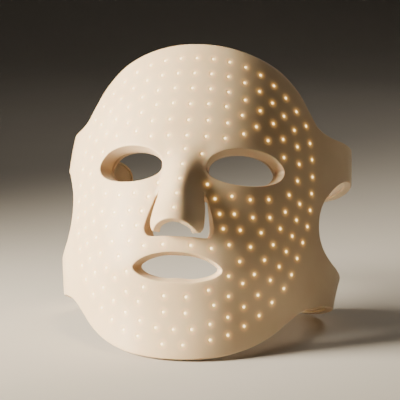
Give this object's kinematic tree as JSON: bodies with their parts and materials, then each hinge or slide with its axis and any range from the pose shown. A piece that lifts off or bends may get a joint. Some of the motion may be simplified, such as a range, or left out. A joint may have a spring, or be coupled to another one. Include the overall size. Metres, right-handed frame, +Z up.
{
  "type": "led face mask",
  "caption": "Flexible full-face light therapy mask with side tabs, eye and mouth openings, a hinged nose flap, light boards under a silicone skin and a power pod behind the forehead.",
  "frame": {"origin": "centre of the bounding box on the table, under the mask as it stands", "axes": "front of the face looks along -Y and tilts up, +X to the wearer's left, +Z up"},
  "size_m": [0.1868, 0.1724, 0.178],
  "materials": {
    "battery_cell": "foil pouch",
    "battery_lead_negative": "wire insulation",
    "battery_lead_positive": "wire insulation",
    "charging_port_bezel": "satin trim",
    "charging_port_shell": "nickel-plated steel",
    "charging_port_tongue": "moulded contact tongue",
    "chin_board": "flexible light board",
    "chin_jumper_left": "polyimide flex film",
    "chin_jumper_right": "polyimide flex film",
    "control_board": "solder mask",
    "controller_chip": "moulded chip package",
    "eye_gasket_left": "soft matte seal",
    "eye_gasket_right": "soft matte seal",
    "face_liner": "matte silicone",
    "forehead_board": "flexible light board",
    "forehead_jumper_left": "polyimide flex film",
    "forehead_jumper_right": "polyimide flex film",
    "front_cover": "matte silicone",
    "left_cheek_board": "flexible light board",
    "nose_board": "flexible light board",
    "nose_flap_cover": "matte silicone",
    "nose_flap_liner": "matte silicone",
    "pod_back_cover": "fine matte plastic",
    "pod_case": "fine matte plastic",
    "pod_gasket": "soft matte seal",
    "power_button": "satin button",
    "ribbon_cable": "polyimide flex film",
    "ribbon_connector": "moulded connector",
    "right_cheek_board": "flexible light board",
    "status_light_pipe": "clear light pipe",
    "tact_switch": "moulded switch"
  },
  "bodies": {
    "mask": {"battery_cell": "battery_cell", "battery_lead_negative": "battery_lead_negative", "battery_lead_positive": "battery_lead_positive", "charging_port_bezel": "charging_port_bezel", "charging_port_shell": "charging_port_shell", "charging_port_tongue": "charging_port_tongue", "chin_board": "chin_board", "chin_jumper_left": "chin_jumper_left", "chin_jumper_right": "chin_jumper_right", "control_board": "control_board", "controller_chip": "controller_chip", "eye_gasket_left": "eye_gasket_left", "eye_gasket_right": "eye_gasket_right", "face_liner": "face_liner", "forehead_board": "forehead_board", "forehead_jumper_left": "forehead_jumper_left", "forehead_jumper_right": "forehead_jumper_right", "front_cover": "front_cover", "left_cheek_board": "left_cheek_board", "pod_back_cover": "pod_back_cover", "pod_case": "pod_case", "pod_gasket": "pod_gasket", "ribbon_cable": "ribbon_cable", "ribbon_connector": "ribbon_connector", "right_cheek_board": "right_cheek_board", "status_light_pipe": "status_light_pipe", "tact_switch": "tact_switch"},
    "nose_flap": {"nose_flap_cover": "nose_flap_cover", "nose_board": "nose_board", "nose_flap_liner": "nose_flap_liner"},
    "power_button": {"power_button": "power_button"}
  },
  "joints": [
    {"name": "nose_flap_hinge", "type": "hinge", "parent": "mask", "child": "nose_flap", "pos_m": [0, -0.05795, 0.09839], "axis": [1, 0, 0], "range_deg": [-8, 4], "stiffness_Nm_per_rad": 0.15},
    {"name": "power_button_press", "type": "slide", "parent": "mask", "child": "power_button", "axis": [0.0374, -0.6868, -0.7259], "range_m": [0, 0.0008], "stiffness_N_per_m": 300}
  ]
}
